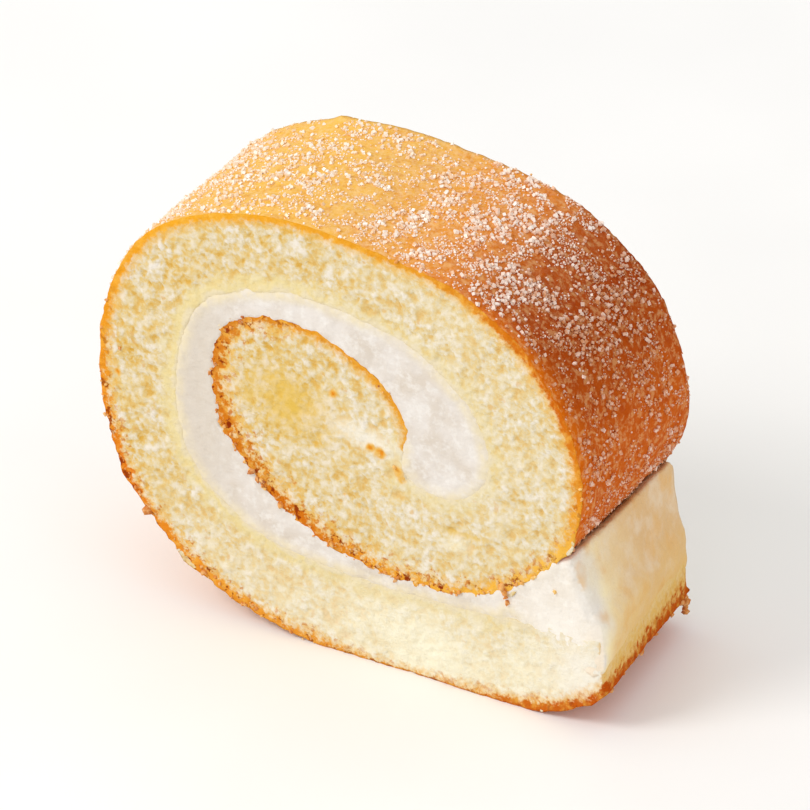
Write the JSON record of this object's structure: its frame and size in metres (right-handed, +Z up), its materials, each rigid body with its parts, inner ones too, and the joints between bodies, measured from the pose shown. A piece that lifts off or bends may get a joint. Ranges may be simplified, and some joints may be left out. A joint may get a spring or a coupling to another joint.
{
  "type": "swiss roll cake slice",
  "caption": "Slice of a sponge cake rolled round white cream, cut across to show its spiral, with a golden crust under granulated sugar.",
  "frame": {"origin": "on the table, below the middle of the slice's box", "axes": "+Z up, +Y along the roll's axis from the front cut face to the back one, +X towards the loose end of the sheet"},
  "size_m": [0.0804, 0.0302, 0.0669],
  "materials": {
    "sponge": "open baked crumb with a golden sugared crust",
    "cream": "soft whipped cream, satin",
    "sugar": "granulated sugar crystals"
  },
  "bodies": {
    "root": {"sponge": "sponge", "cream": "cream"}
  },
  "joints": []
}
